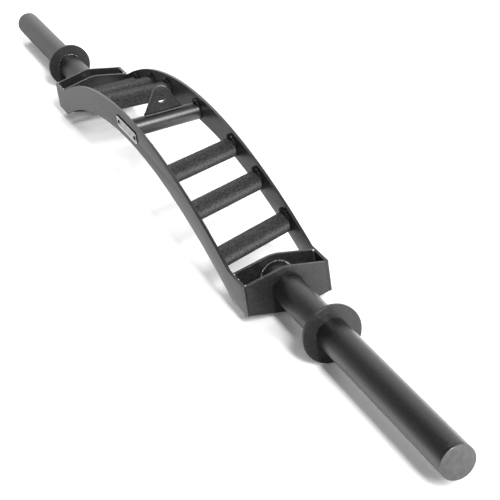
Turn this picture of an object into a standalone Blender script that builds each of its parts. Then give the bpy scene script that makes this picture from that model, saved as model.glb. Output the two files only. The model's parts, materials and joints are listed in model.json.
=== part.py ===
"""A swiss bar: a barbell whose middle is an arched frame with slanted grips, for pressing with turned hands.

Two laser-cut arched rails carry six grips and a centre bar. A pair of cross plates closes each end of the
frame into a box, and a sleeve tube runs out of each box through a collar to its end cap. A lug with an eye
stands on the centre bar, and a small plate is riveted to the front rail. Everything is welded steel.

X runs along the bar, Y across it and Z up. The origin is under the middle of the bar, on the surface that
the two collars stand on. All values are in metres.
"""

import math

import bmesh
import bpy
from mathutils import Vector

# The sleeves, turned about the bar's own axis.
BAR_LENGTH = 2.124
SLEEVE_DIAMETER = 0.050
SLEEVE_WALL = 0.005
LOADING_LENGTH = 0.366
COLLAR_DIAMETER = 0.0912
COLLAR_THICKNESS = 0.006
COLLAR_EDGE = 0.0008
CAP_THICKNESS = 0.006
CAP_EDGE = 0.0012

# The frame: two arched rails and two cross plates at each end.
FRAME_LENGTH = 1.070
FRAME_WIDTH = 0.141
RAIL_THICKNESS = 0.005
RAIL_END_HEIGHT = 0.050
FRAME_CORNER_RADIUS = 0.003
ARCH_SPAN = 0.946
ARCH_RISE = 0.1048
ARCH_CROWN_DEPTH = 0.049
CROSS_PLATE_THICKNESS = 0.005
CROSS_PLATE_HUMP = 0.0132
CROSS_PLATE_HUMP_RADIUS = 0.060
END_BOX_LENGTH = 0.048
PLATE_EDGE = 0.0006

# The grips, slanted the same way on each side of the middle and mirrored about it. They are spaced
# inwards from the inner cross plates.
GRIP_DIAMETER = 0.034
GRIP_WALL = 0.004
GRIP_SLANT = math.radians(14.0)
GRIP_END_SPACE = 0.089
GRIP_PITCH = 0.107
GRIPS_PER_SIDE = 3
GRIP_DROP = 0.0058

# The centre bar and the lug that stands on it.
CENTRE_BAR_DIAMETER = 0.032
CENTRE_BAR_WALL = 0.004
CENTRE_BAR_DROP = 0.0062
LUG_THICKNESS = 0.008
LUG_OFFSET = 0.0026
LUG_BASE_WIDTH = 0.070
LUG_HEIGHT = 0.047
LUG_TOP_RADIUS = 0.015
LUG_EYE_DIAMETER = 0.016
LUG_EYE_HEIGHT = 0.024

# The name plate on the front rail, and its two rivets.
NAME_PLATE_LENGTH = 0.112
NAME_PLATE_HEIGHT = 0.020
NAME_PLATE_THICKNESS = 0.001
NAME_PLATE_CORNER = 0.006
NAME_PLATE_OFFSET = 0.009
NAME_PLATE_DROP = 0.0024
RIVET_SPACING = 0.092
RIVET_SHANK_DIAMETER = 0.0026
RIVET_HEAD_DIAMETER = 0.005
RIVET_HEAD_HEIGHT = 0.0012
RIVET_GRIP = 0.003

# Weld fillets: the leg along each of the two faces that they join.
INNER_PLATE_WELD_LEG = 0.0055
OUTER_PLATE_WELD_LEG = 0.0018
COLLAR_WELD_LEG = 0.0022
BOX_WELD_LEG = 0.0035
BOX_WELD_SETBACK = 0.0012
LUG_WELD_RADIUS = 0.0018
TUBE_WELD_LEG_ABOVE = 0.007
TUBE_WELD_LEG_BELOW = 0.0012

# How far out, in legs, the centre of a fillet's hollow face lies from the corner that it fills.
FILLET_CENTRE = 1.5

# Faces that seat on each other are modelled this far apart.
SEAT_GAP = 0.0003

# Points closer together than this are one point.
SAME_POINT = 0.00001

ROUND_STEPS = 48
SMALL_ROUND_STEPS = 32
LUG_TOP_STEPS = 16
BEAD_STEPS = 12
RIVET_STEPS = 16
RIVET_HOLE_STEPS = 12
ARCH_STEPS = 40
CORNER_STEPS = 4
HUMP_STEPS = 6
FILLET_STEPS = 4
TUBE_WELD_STEPS = 20
TUBE_FILLET_STEPS = 2
SMOOTH_BELOW = math.radians(35)
BEVEL_ABOVE = math.radians(40)

# Places worked out from the sizes above.
SLEEVE_RADIUS = SLEEVE_DIAMETER / 2
AXIS_HEIGHT = COLLAR_DIAMETER / 2
BAR_END = BAR_LENGTH / 2
FRAME_END = FRAME_LENGTH / 2
INNER_PLATE_FACE = FRAME_END - END_BOX_LENGTH
COLLAR_FACE = BAR_END - LOADING_LENGTH
RAIL_INSIDE = FRAME_WIDTH / 2 - RAIL_THICKNESS
GRIP_FIRST = INNER_PLATE_FACE - GRIP_END_SPACE - (GRIPS_PER_SIDE - 1) * GRIP_PITCH
PASSAGE_RADIUS = SLEEVE_RADIUS + SEAT_GAP
RAIL_HALF_HEIGHT = RAIL_END_HEIGHT / 2
ARCH_HALF_SPAN = ARCH_SPAN / 2
CROWN_TOP = RAIL_HALF_HEIGHT + ARCH_RISE
CROWN_BOTTOM = CROWN_TOP - ARCH_CROWN_DEPTH
CENTRE_BAR_Z = AXIS_HEIGHT + (CROWN_TOP + CROWN_BOTTOM) / 2 - CENTRE_BAR_DROP
LUG_BASE_Z = CENTRE_BAR_Z + CENTRE_BAR_DIAMETER / 2 + SEAT_GAP
NAME_PLATE_Z = AXIS_HEIGHT + (CROWN_TOP + CROWN_BOTTOM) / 2 - NAME_PLATE_DROP

SIDES = {"left": -1, "right": 1}


def clear_scene():
    """Removes every object that the file opens with."""
    for obj in list(bpy.data.objects):
        bpy.data.objects.remove(obj, do_unlink=True)


def new_collection(name):
    collection = bpy.data.collections.new(name)
    bpy.context.scene.collection.children.link(collection)
    return collection


def coating(name, colour, roughness, metallic=0.0):
    """A Principled material of one colour, given as linear red, green and blue."""
    material = bpy.data.materials.new(name)
    material.use_nodes = True
    shader = material.node_tree.nodes["Principled BSDF"]
    shader.inputs["Base Color"].default_value = (*colour, 1.0)
    shader.inputs["Roughness"].default_value = roughness
    shader.inputs["Metallic"].default_value = metallic
    material.diffuse_color = (*colour, 1.0)
    return material


def add_object(name, data, material, location=(0, 0, 0), rotation=(0, 0, 0)):
    """Puts mesh or curve data in the bar's collection as one named piece."""
    obj = bpy.data.objects.new(name, data)
    obj.location = location
    obj.rotation_euler = rotation
    data.materials.append(material)
    PARTS.objects.link(obj)
    return obj


def shade_round(mesh):
    mesh.shade_smooth()
    mesh.set_sharp_from_angle(angle=SMOOTH_BELOW)


# Outlines. Each is a list of (across, up) points that runs once round the shape.


def arc(centre, radius, start, end, steps):
    """Points along an arc from one angle to another, in degrees, both ends included."""
    angles = [math.radians(start + (end - start) * i / steps) for i in range(steps + 1)]
    return [(centre[0] + radius * math.cos(a), centre[1] + radius * math.sin(a)) for a in angles]


def circle(centre, radius, steps):
    return arc(centre, radius, 0, 360, steps)[:-1]


def arch_radius(rise):
    """The radius of an arc that spans the arch and rises this far in its middle."""
    return (ARCH_HALF_SPAN**2 + rise**2) / (2 * rise)


def arch_height(x, crown, foot):
    """The height of an arch at x, above the bar's axis, between its crown and its feet."""
    radius = arch_radius(crown - foot)
    return crown - radius + math.sqrt(radius**2 - x**2)


def rail_middle(x):
    """The height of the middle of the rails at x, above the bar's axis."""
    top = arch_height(x, CROWN_TOP, RAIL_HALF_HEIGHT)
    bottom = arch_height(x, CROWN_BOTTOM, -RAIL_HALF_HEIGHT)
    return (top + bottom) / 2


def arch_points(crown, foot):
    """An arch from its left foot to its right foot."""
    steps = range(ARCH_STEPS + 1)
    along = [ARCH_HALF_SPAN * (2 * i / ARCH_STEPS - 1) for i in steps]
    return [(x, arch_height(x, crown, foot)) for x in along]


def rail_outline():
    """One rail from the side: level ends, and an arch between them."""
    top = arch_points(CROWN_TOP, RAIL_HALF_HEIGHT)
    bottom = arch_points(CROWN_BOTTOM, -RAIL_HALF_HEIGHT)
    right_end = [(FRAME_END, RAIL_HALF_HEIGHT), (FRAME_END, -RAIL_HALF_HEIGHT)]
    left_end = [(-x, z) for x, z in reversed(right_end)]
    return top + right_end + bottom[::-1] + left_end


def cross_plate_outline():
    """A cross plate from the end: straight sides, and a low rounded hump above and below."""
    half_width = RAIL_INSIDE - SEAT_GAP
    slope = math.atan(CROSS_PLATE_HUMP / half_width)
    tip = RAIL_HALF_HEIGHT + CROSS_PLATE_HUMP - CROSS_PLATE_HUMP_RADIUS / math.cos(slope)
    turn = math.degrees(slope)
    hump = arc((0, tip), CROSS_PLATE_HUMP_RADIUS, 90 + turn, 90 - turn, HUMP_STEPS)
    upper = [(-half_width, RAIL_HALF_HEIGHT)] + hump + [(half_width, RAIL_HALF_HEIGHT)]
    return upper + [(-x, -z) for x, z in upper]


def lug_outline():
    """The lug from the end of the bar: a wide foot, sloping sides and a round top."""
    centre = LUG_HEIGHT - LUG_TOP_RADIUS
    half_base = LUG_BASE_WIDTH / 2
    lean = math.atan2(centre, half_base)
    reach = math.acos(LUG_TOP_RADIUS / math.hypot(half_base, centre))
    tangent = math.degrees(reach - lean)
    top = arc((0, centre), LUG_TOP_RADIUS, tangent, 180 - tangent, LUG_TOP_STEPS)
    return [(-half_base, 0), (half_base, 0)] + top


def name_plate_outline():
    """A rectangle with rounded corners, about its own middle."""
    x = NAME_PLATE_LENGTH / 2 - NAME_PLATE_CORNER
    z = NAME_PLATE_HEIGHT / 2 - NAME_PLATE_CORNER
    corners = [(x, z, 0), (-x, z, 90), (-x, -z, 180), (x, -z, 270)]
    outline = []
    for across, up, start in corners:
        outline += arc((across, up), NAME_PLATE_CORNER, start, start + 90, CORNER_STEPS)
    return outline


# Makers. Each turns an outline, a profile or a line into one closed piece.


def cut_plate(name, outline, holes, thickness, material, location, rotation, edge=0.0):
    """A flat plate cut along an outline, with any holes, and its sharp edges broken."""
    curve = bpy.data.curves.new(name, "CURVE")
    curve.dimensions = "2D"
    curve.fill_mode = "BOTH"
    curve.extrude = thickness / 2
    for points in [outline] + holes:
        spline = curve.splines.new("POLY")
        spline.points.add(len(points) - 1)
        spline.use_cyclic_u = True
        for point, (across, up) in zip(spline.points, points):
            point.co = (across, up, 0, 1)
    guide = add_object(name + "_outline", curve, material, location, rotation)
    bpy.context.view_layer.update()
    graph = bpy.context.evaluated_depsgraph_get()
    mesh = bpy.data.meshes.new_from_object(guide.evaluated_get(graph))
    mesh.name = name
    place = guide.matrix_world.copy()
    bpy.data.objects.remove(guide, do_unlink=True)
    bm = bmesh.new()
    bm.from_mesh(mesh)
    bmesh.ops.remove_doubles(bm, verts=bm.verts, dist=SAME_POINT)
    bmesh.ops.recalc_face_normals(bm, faces=bm.faces)
    bm.to_mesh(mesh)
    bm.free()
    obj = bpy.data.objects.new(name, mesh)
    obj.matrix_world = place
    PARTS.objects.link(obj)
    if edge:
        bevel = obj.modifiers.new("Edges", "BEVEL")
        bevel.width = edge
        bevel.segments = 1
        bevel.limit_method = "ANGLE"
        bevel.angle_limit = BEVEL_ABOVE
    return obj


def turned(name, profile, steps, material, location, rotation, ring=True):
    """A turned piece: a profile of (radius, height) swept once round its own upright axis.

    A ring's profile is closed. Otherwise its two ends lie on the axis.
    """
    bm = bmesh.new()
    verts = [bm.verts.new((radius, 0, height)) for radius, height in profile]
    ends = verts[1:] + verts[:1] if ring else verts[1:]
    for first, second in zip(verts, ends):
        bm.edges.new((first, second))
    mesh = bpy.data.meshes.new(name)
    bm.to_mesh(mesh)
    bm.free()
    obj = add_object(name, mesh, material, location, rotation)
    screw = obj.modifiers.new("Turn", "SCREW")
    screw.axis = "Z"
    screw.steps = steps
    screw.render_steps = steps
    screw.use_merge_vertices = True
    screw.merge_threshold = SAME_POINT
    screw.use_smooth_shade = True
    return obj


def cylinder(name, start, end, radius, steps):
    """A capped cylinder from start to end, as a mesh whose points are in place."""
    start = Vector(start)
    end = Vector(end)
    turn = Vector((0, 0, 1)).rotation_difference(end - start).to_matrix().to_4x4()
    bm = bmesh.new()
    bmesh.ops.create_cone(
        bm,
        cap_ends=True,
        segments=steps,
        radius1=radius,
        radius2=radius,
        depth=(end - start).length,
        matrix=turn,
    )
    bmesh.ops.translate(bm, verts=bm.verts, vec=(start + end) / 2)
    mesh = bpy.data.meshes.new(name)
    bm.to_mesh(mesh)
    bm.free()
    return mesh


def tube_across(name, start, end, diameter, wall, material):
    """A tube between the rails, with both ends cut square to Y so that they lie flat on the rails."""
    start = Vector(start)
    end = Vector(end)
    axis = (end - start).normalized()
    mesh = cylinder(name, start, end, diameter / 2, SMALL_ROUND_STEPS)
    for vert in mesh.vertices:
        cut = start.y if vert.co.y < (start.y + end.y) / 2 else end.y
        vert.co += axis * ((cut - vert.co.y) / axis.y)
    shade_round(mesh)
    obj = add_object(name, mesh, material)
    past = axis * diameter
    bore = cylinder(name + "_bore", start - past, end + past, diameter / 2 - wall, SMALL_ROUND_STEPS)
    cutter = bpy.data.objects.new(name + "_bore", bore)
    cutter.hide_render = True
    cutter.display_type = "WIRE"
    CUTTERS.objects.link(cutter)
    cut = obj.modifiers.new("Bore", "BOOLEAN")
    cut.operation = "DIFFERENCE"
    cut.object = cutter
    return obj


# The pieces.


def along_bar(side, x, facing=1):
    """Where a piece turned about the bar's axis goes. Its own up points outwards, or inwards at -1."""
    return {"location": (side * x, 0, AXIS_HEIGHT), "rotation": (0, facing * side * math.pi / 2, 0)}


def ring_profile(outside, inside, length, edge=0.0):
    """A washer or tube section from 0 to its length, the outer corners cut by the edge."""
    outer = [(outside - edge, length), (outside, length - edge), (outside, edge), (outside - edge, 0)]
    if not edge:
        outer = [(outside, length), (outside, 0)]
    return outer + [(inside, 0), (inside, length)]


def fillet_section(leg, steps=FILLET_STEPS):
    """A weld in a square corner at (0, 0), off both of its faces, with a slightly hollow outer face."""
    reach = FILLET_CENTRE * leg
    turn = math.degrees(math.atan2(reach - leg, reach))
    hollow = arc((reach, reach), math.hypot(reach, reach - leg), 180 + turn, 270 - turn, steps)
    return [(x + SEAT_GAP, z + SEAT_GAP) for x, z in hollow + [(0, 0)]]


def round_corners(rail, side):
    """Rounds the upright outer corner at each end of a rail, as ground down after welding."""
    bm = bmesh.new()
    bm.from_mesh(rail.data)
    corners = []
    for edge in bm.edges:
        if all(FRAME_END - abs(v.co.x) < SAME_POINT and v.co.z * side < 0 for v in edge.verts):
            corners.append(edge)
    bmesh.ops.bevel(
        bm,
        geom=corners,
        offset=FRAME_CORNER_RADIUS,
        segments=CORNER_STEPS,
        profile=0.5,
        affect="EDGES",
    )
    bm.to_mesh(rail.data)
    bm.free()


def make_rails(steel):
    holes = []
    for side in SIDES.values():
        centre = (NAME_PLATE_OFFSET + side * RIVET_SPACING / 2, NAME_PLATE_Z - AXIS_HEIGHT)
        holes.append(circle(centre, RIVET_SHANK_DIAMETER / 2 + SEAT_GAP, RIVET_HOLE_STEPS))
    for name, side, cuts in (("front_rail", -1, holes), ("back_rail", 1, [])):
        y = side * (FRAME_WIDTH - RAIL_THICKNESS) / 2
        place = {"location": (0, y, AXIS_HEIGHT), "rotation": (math.pi / 2, 0, 0)}
        rail = cut_plate(name, rail_outline(), cuts, RAIL_THICKNESS, steel, edge=PLATE_EDGE, **place)
        round_corners(rail, side)


def make_cross_plates(steel):
    passage = circle((0, 0), PASSAGE_RADIUS, ROUND_STEPS)
    half = CROSS_PLATE_THICKNESS / 2
    plates = {"outer": (FRAME_END - half, [passage]), "inner": (INNER_PLATE_FACE - half, [])}
    for which, (x, holes) in plates.items():
        for word, side in SIDES.items():
            place = {"location": (side * x, 0, AXIS_HEIGHT), "rotation": (math.pi / 2, 0, math.pi / 2)}
            name = f"{which}_cross_plate_{word}"
            thickness = CROSS_PLATE_THICKNESS
            cut_plate(name, cross_plate_outline(), holes, thickness, steel, edge=PLATE_EDGE, **place)


def make_sleeves(steel):
    tube_start = INNER_PLATE_FACE + SEAT_GAP
    tube_length = BAR_END - CAP_THICKNESS - SEAT_GAP - tube_start
    tube = ring_profile(SLEEVE_RADIUS, SLEEVE_RADIUS - SLEEVE_WALL, tube_length)
    collar = ring_profile(COLLAR_DIAMETER / 2, PASSAGE_RADIUS, COLLAR_THICKNESS, COLLAR_EDGE)
    rim = SLEEVE_RADIUS - CAP_EDGE
    cap = [(0, CAP_THICKNESS), (rim, CAP_THICKNESS), (SLEEVE_RADIUS, CAP_THICKNESS - CAP_EDGE)]
    cap += [(SLEEVE_RADIUS, 0), (0, 0)]
    for word, side in SIDES.items():
        turned(f"sleeve_tube_{word}", tube, ROUND_STEPS, steel, **along_bar(side, tube_start))
        collar_start = COLLAR_FACE - COLLAR_THICKNESS
        turned(f"collar_{word}", collar, ROUND_STEPS, steel, **along_bar(side, collar_start))
        cap_start = BAR_END - CAP_THICKNESS
        turned(f"end_cap_{word}", cap, ROUND_STEPS, steel, ring=False, **along_bar(side, cap_start))


def make_grips(knurled_steel, weld_steel):
    """Six knurled grips, numbered outwards from the middle. Their ends follow the rails' middle line."""
    reach = RAIL_INSIDE - SEAT_GAP
    shift = reach * math.tan(GRIP_SLANT)
    for word, side in SIDES.items():
        for number in range(GRIPS_PER_SIDE):
            x = GRIP_FIRST + number * GRIP_PITCH
            ends = []
            for across in (-1, 1):
                along = x - across * shift
                height = AXIS_HEIGHT + rail_middle(along) - GRIP_DROP
                ends.append((side * along, across * reach, height))
            name = f"grip_{word}_{number + 1}"
            tube_across(name, ends[0], ends[1], GRIP_DIAMETER, GRIP_WALL, knurled_steel)
            tube_welds(f"grip_weld_{word}_{number + 1}", ends[0], ends[1], GRIP_DIAMETER, weld_steel)


def make_centre_bar(steel):
    reach = RAIL_INSIDE - SEAT_GAP
    ends = [(0, -reach, CENTRE_BAR_Z), (0, reach, CENTRE_BAR_Z)]
    tube_across("centre_bar", ends[0], ends[1], CENTRE_BAR_DIAMETER, CENTRE_BAR_WALL, steel)
    tube_welds("centre_bar_weld", ends[0], ends[1], CENTRE_BAR_DIAMETER, steel)


def tube_welds(name, front, back, diameter, material):
    """The welds where a tube's two ends meet the rails, heavy on top of the tube and light below it."""
    front = Vector(front)
    axis = (Vector(back) - front).normalized()
    level = axis.cross(Vector((0, 0, 1))).normalized()
    up = level.cross(axis)
    for rail, side in (("front", -1), ("back", 1)):
        rings = []
        for step in range(TUBE_WELD_STEPS):
            angle = math.tau * step / TUBE_WELD_STEPS
            outwards = level * math.cos(angle) + up * math.sin(angle)
            height = (1 + math.sin(angle)) / 2
            leg = TUBE_WELD_LEG_BELOW + (TUBE_WELD_LEG_ABOVE - TUBE_WELD_LEG_BELOW) * height
            ring = []
            for out, inwards in fillet_section(leg, TUBE_FILLET_STEPS):
                point = front + outwards * (diameter / 2 + out)
                face = side * (RAIL_INSIDE - inwards)
                ring.append(point + axis * ((face - point.y) / axis.y))
            rings.append(ring)
        closed_ring(f"{name}_{rail}", rings, material)


def closed_ring(name, rings, material):
    """A ring-shaped piece through sections of equal counts of points. The last one joins the first."""
    bm = bmesh.new()
    sections = [[bm.verts.new(point) for point in ring] for ring in rings]
    count = len(sections[0])
    for here, ahead in zip(sections, sections[1:] + sections[:1]):
        for i in range(count):
            j = (i + 1) % count
            bm.faces.new((here[i], here[j], ahead[j], ahead[i]))
    bmesh.ops.triangulate(bm, faces=bm.faces)
    bmesh.ops.recalc_face_normals(bm, faces=bm.faces)
    mesh = bpy.data.meshes.new(name)
    bm.to_mesh(mesh)
    bm.free()
    shade_round(mesh)
    add_object(name, mesh, material)


def make_lug(steel):
    """The lug and the two beads of weld that hold it on top of the centre bar."""
    eye = circle((0, LUG_EYE_HEIGHT), LUG_EYE_DIAMETER / 2, SMALL_ROUND_STEPS)
    place = {"location": (0, LUG_OFFSET, LUG_BASE_Z), "rotation": (math.pi / 2, 0, math.pi / 2)}
    cut_plate("hanging_lug", lug_outline(), [eye], LUG_THICKNESS, steel, edge=PLATE_EDGE, **place)
    x = LUG_THICKNESS / 2 + SEAT_GAP + LUG_WELD_RADIUS
    span = CENTRE_BAR_DIAMETER / 2 + SEAT_GAP + LUG_WELD_RADIUS
    z = CENTRE_BAR_Z + math.sqrt(span**2 - x**2)
    for word, side in SIDES.items():
        centre = (side * x, LUG_OFFSET, z)
        weld_bead(f"lug_weld_{word}", centre, LUG_BASE_WIDTH, LUG_WELD_RADIUS, steel)


def weld_bead(name, centre, length, radius, material):
    """A straight bead across the bar with round ends."""
    straight = length / 2 - radius
    profile = arc((0, straight), radius, 90, 0, CORNER_STEPS)
    profile += arc((0, -straight), radius, 0, -90, CORNER_STEPS)
    place = {"location": centre, "rotation": (math.pi / 2, 0, 0)}
    turned(name, profile, BEAD_STEPS, material, ring=False, **place)


def make_ring_welds(steel):
    """The welds round the sleeve tubes. A collar's is on its inner side, so its outer face stays flat."""
    welds = {
        "inner_plate_weld": (INNER_PLATE_FACE, 1, INNER_PLATE_WELD_LEG),
        "outer_plate_weld": (FRAME_END, 1, OUTER_PLATE_WELD_LEG),
        "collar_weld": (COLLAR_FACE - COLLAR_THICKNESS, -1, COLLAR_WELD_LEG),
    }
    for name, (x, facing, leg) in welds.items():
        profile = [(SLEEVE_RADIUS + out, up) for out, up in fillet_section(leg)]
        for word, side in SIDES.items():
            turned(f"{name}_{word}", profile, ROUND_STEPS, steel, **along_bar(side, x, facing))


def make_box_welds(steel):
    """Upright welds in the corners between the cross plates and the rails, inside each end box."""
    corners = {"inner": (INNER_PLATE_FACE, 1), "outer": (FRAME_END - CROSS_PLATE_THICKNESS, -1)}
    height = RAIL_END_HEIGHT - 2 * BOX_WELD_SETBACK
    for word, side in SIDES.items():
        for which, (x, facing) in corners.items():
            for rail, y_side in (("front", -1), ("back", 1)):
                outline = []
                for along, across in fillet_section(BOX_WELD_LEG):
                    outline.append((side * facing * along, -y_side * across))
                name = f"box_weld_{word}_{which}_{rail}"
                place = {"location": (side * x, y_side * RAIL_INSIDE, AXIS_HEIGHT), "rotation": (0, 0, 0)}
                cut_plate(name, outline, [], height, steel, **place)


def make_name_plate(metal, rivet_metal):
    """The bare name plate on the front rail, and the rivets that pass through it into the rail."""
    rail_face = -FRAME_WIDTH / 2
    middle = rail_face - SEAT_GAP - NAME_PLATE_THICKNESS / 2
    bore = RIVET_SHANK_DIAMETER / 2 + SEAT_GAP
    holes = [circle((side * RIVET_SPACING / 2, 0), bore, RIVET_HOLE_STEPS) for side in SIDES.values()]
    place = {"location": (NAME_PLATE_OFFSET, middle, NAME_PLATE_Z), "rotation": (math.pi / 2, 0, 0)}
    cut_plate("name_plate", name_plate_outline(), holes, NAME_PLATE_THICKNESS, metal, **place)
    seat = middle - NAME_PLATE_THICKNESS / 2 - SEAT_GAP
    shank = RIVET_SHANK_DIAMETER / 2
    depth = NAME_PLATE_THICKNESS + 2 * SEAT_GAP + RIVET_GRIP
    head = arc((0, 0), 1, 90, 0, CORNER_STEPS)
    profile = [(x * RIVET_HEAD_DIAMETER / 2, z * RIVET_HEAD_HEIGHT) for x, z in head]
    profile += [(shank, 0), (shank, -depth), (0, -depth)]
    for word, side in SIDES.items():
        x = NAME_PLATE_OFFSET + side * RIVET_SPACING / 2
        place = {"location": (x, seat, NAME_PLATE_Z), "rotation": (math.pi / 2, 0, 0)}
        turned(f"name_plate_rivet_{word}", profile, RIVET_STEPS, rivet_metal, ring=False, **place)


clear_scene()
PARTS = new_collection("swiss_bar")
CUTTERS = new_collection("cutters")
FRAME_STEEL = coating("Powder-coated frame", (0.045, 0.045, 0.046), 0.5)
SLEEVE_STEEL = coating("Powder-coated sleeve", (0.04, 0.04, 0.042), 0.42)
GRIP_STEEL = coating("Knurled grip, coated", (0.04, 0.04, 0.04), 0.6)
PLATE_METAL = coating("Bare aluminium plate", (0.75, 0.75, 0.76), 0.35, 1.0)
RIVET_METAL = coating("Black rivet", (0.02, 0.02, 0.02), 0.4, 0.6)
make_rails(FRAME_STEEL)
make_cross_plates(FRAME_STEEL)
make_sleeves(SLEEVE_STEEL)
make_ring_welds(SLEEVE_STEEL)
make_box_welds(FRAME_STEEL)
make_grips(GRIP_STEEL, FRAME_STEEL)
make_centre_bar(FRAME_STEEL)
make_lug(FRAME_STEEL)
make_name_plate(PLATE_METAL, RIVET_METAL)
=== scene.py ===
# %% [markdown]
# # The looks of a swiss bar
# This lesson dresses a welded barbell whose middle is an arched frame with slanted grips. The shapes
# that carry load come as a fixed frame, in metres, with X along the bar, Y across it and Z up. What the
# lesson adds is what makes steel look made: knurling, rippled welds, turned edges, powder coat and light.

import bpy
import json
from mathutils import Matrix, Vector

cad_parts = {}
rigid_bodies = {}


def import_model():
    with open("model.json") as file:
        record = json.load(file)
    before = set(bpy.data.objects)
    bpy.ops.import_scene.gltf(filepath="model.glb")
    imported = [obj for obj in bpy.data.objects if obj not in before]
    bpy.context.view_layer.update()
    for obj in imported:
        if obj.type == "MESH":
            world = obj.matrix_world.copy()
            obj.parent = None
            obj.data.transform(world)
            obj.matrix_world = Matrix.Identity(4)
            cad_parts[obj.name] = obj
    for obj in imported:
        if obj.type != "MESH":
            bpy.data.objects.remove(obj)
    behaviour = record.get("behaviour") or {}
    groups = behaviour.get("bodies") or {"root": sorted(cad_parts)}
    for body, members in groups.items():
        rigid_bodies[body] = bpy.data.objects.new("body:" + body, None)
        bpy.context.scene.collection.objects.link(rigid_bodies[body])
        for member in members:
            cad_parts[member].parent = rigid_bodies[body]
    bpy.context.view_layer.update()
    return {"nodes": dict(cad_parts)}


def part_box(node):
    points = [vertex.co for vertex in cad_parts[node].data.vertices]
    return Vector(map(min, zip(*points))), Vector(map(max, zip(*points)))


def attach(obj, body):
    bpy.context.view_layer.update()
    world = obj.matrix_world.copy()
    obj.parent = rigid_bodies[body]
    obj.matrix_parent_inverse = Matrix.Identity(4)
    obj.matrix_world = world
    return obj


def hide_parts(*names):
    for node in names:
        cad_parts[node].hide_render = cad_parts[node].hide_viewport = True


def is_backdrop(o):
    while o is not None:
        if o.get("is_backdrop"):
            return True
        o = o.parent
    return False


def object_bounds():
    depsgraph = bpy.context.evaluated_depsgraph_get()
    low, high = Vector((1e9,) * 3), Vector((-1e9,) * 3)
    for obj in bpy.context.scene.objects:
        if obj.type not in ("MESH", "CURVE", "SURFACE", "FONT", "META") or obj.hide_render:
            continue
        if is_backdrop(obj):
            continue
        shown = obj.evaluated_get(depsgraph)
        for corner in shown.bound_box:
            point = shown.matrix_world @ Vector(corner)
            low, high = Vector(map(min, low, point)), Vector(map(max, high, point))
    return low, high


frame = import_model()

# %% [markdown]
# Everything below is worked out from a few sizes. Blender counts in metres, so millimetres get a name,
# and so do the two ends of the bar. The box of a piece in the frame gives the sizes that were settled there.

# %% Sizes
import json
import math

import bmesh
import bpy
from mathutils import Matrix, Vector

MM = 0.001
SIDES = {"left": -1, "right": 1}

tube_low, tube_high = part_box("sleeve_tube_right")
axis_height = (tube_low.z + tube_high.z) / 2
sleeve_radius = tube_high.z - axis_height
print("axis height", round(axis_height / MM, 1), "mm, sleeve radius", round(sleeve_radius / MM, 1), "mm")

# %% [markdown]
# A camera far off with a long lens keeps the bar's two ends alike in size. It looks down along the bar
# from its right end, and it leans a little to one side, which lays the bar across the picture's diagonal.
# Such a camera is a place, a point to look at and a roll about the line between them. Its focal length and
# sensor are in millimetres, and a small shift centres the bar.

# %% Camera
CAMERA_PLACE = Vector((2.43499, -0.65919, 1.12934))
CAMERA_TARGET = Vector((0.10345, 0.08564, -0.09885))
CAMERA_ROLL = math.radians(-8.82)
FOCAL_LENGTH = 109.85
SENSOR_WIDTH = 36.0
SHIFT_RIGHT = 0.0028
SHIFT_UP = -0.0005
FARTHEST_SEEN = 100.0

lens = bpy.data.cameras.new("camera")
lens.lens = FOCAL_LENGTH
lens.sensor_width = SENSOR_WIDTH
lens.shift_x = SHIFT_RIGHT
lens.shift_y = SHIFT_UP
lens.clip_end = FARTHEST_SEEN
camera = bpy.data.objects.new("camera", lens)
camera.location = CAMERA_PLACE
level = (CAMERA_TARGET - CAMERA_PLACE).to_track_quat("-Z", "Y").to_matrix()
camera.rotation_euler = (level @ Matrix.Rotation(CAMERA_ROLL, 3, "Z")).to_euler()
bpy.context.scene.collection.objects.link(camera)
bpy.context.scene.camera = camera
bpy.context.scene.view_settings.view_transform = "Standard"
print("camera", round((CAMERA_TARGET - CAMERA_PLACE).length, 2), "m from its target")

# %% [markdown]
# Colours are written as hex values, as a paint maker gives them. Blender's shaders want linear light, so
# one function turns the hex value to that, by the sRGB standard's own formula. Another adds any node, with
# its settings and links. All the materials and node trees below are built with it, one node at a time, and
# the kinds of node that come up most get a short name.

# %% Colour and node helpers
MATH = "ShaderNodeMath"
VECTOR_MATH = "ShaderNodeVectorMath"
MAP_RANGE = "ShaderNodeMapRange"
MIX = "ShaderNodeMix"
COORDINATES = "ShaderNodeTexCoord"
SPLIT = "ShaderNodeSeparateXYZ"
NOISE = "ShaderNodeTexNoise"


def linear(hex_colour):
    """An sRGB hex colour as the linear red, green, blue and alpha that shaders take."""
    values = [int(hex_colour[i : i + 2], 16) / 255 for i in (1, 3, 5)]
    return (*[v / 12.92 if v <= 0.04045 else ((v + 0.055) / 1.055) ** 2.4 for v in values], 1.0)


def add_node(tree, kind, inputs=None, **settings):
    """Adds a node. An input is a value, a socket to link from, or a node whose first output is linked."""
    node = tree.nodes.new(kind)
    for key, value in settings.items():
        setattr(node, key, value)
    for key, value in (inputs or {}).items():
        if isinstance(value, bpy.types.Node):
            value = value.outputs[0]
        if isinstance(value, bpy.types.NodeSocket):
            tree.links.new(value, node.inputs[key])
        else:
            node.inputs[key].default_value = value
    return node


def per_size(millimetres):
    """The scale that makes a texture's cells this large on Object coordinates in metres."""
    return 1.0 / (millimetres * MM)


print("half grey #808080 is", round(linear("#808080")[0], 3), "in linear light")

# %% [markdown]
# The studio is a white floor under a dim ceiling, with a white wall that is taller on the right.
# Satin black metal shows little but what it mirrors, so this light and dark round the bar draws its shape:
# floor and wall light its sides and slopes, and the dim ceiling keeps its upper faces dark. A world shader
# does this without any walls to build: it takes the height of a direction along a leaning line, which makes
# one wall the taller. The camera itself sees plain white.

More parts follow.
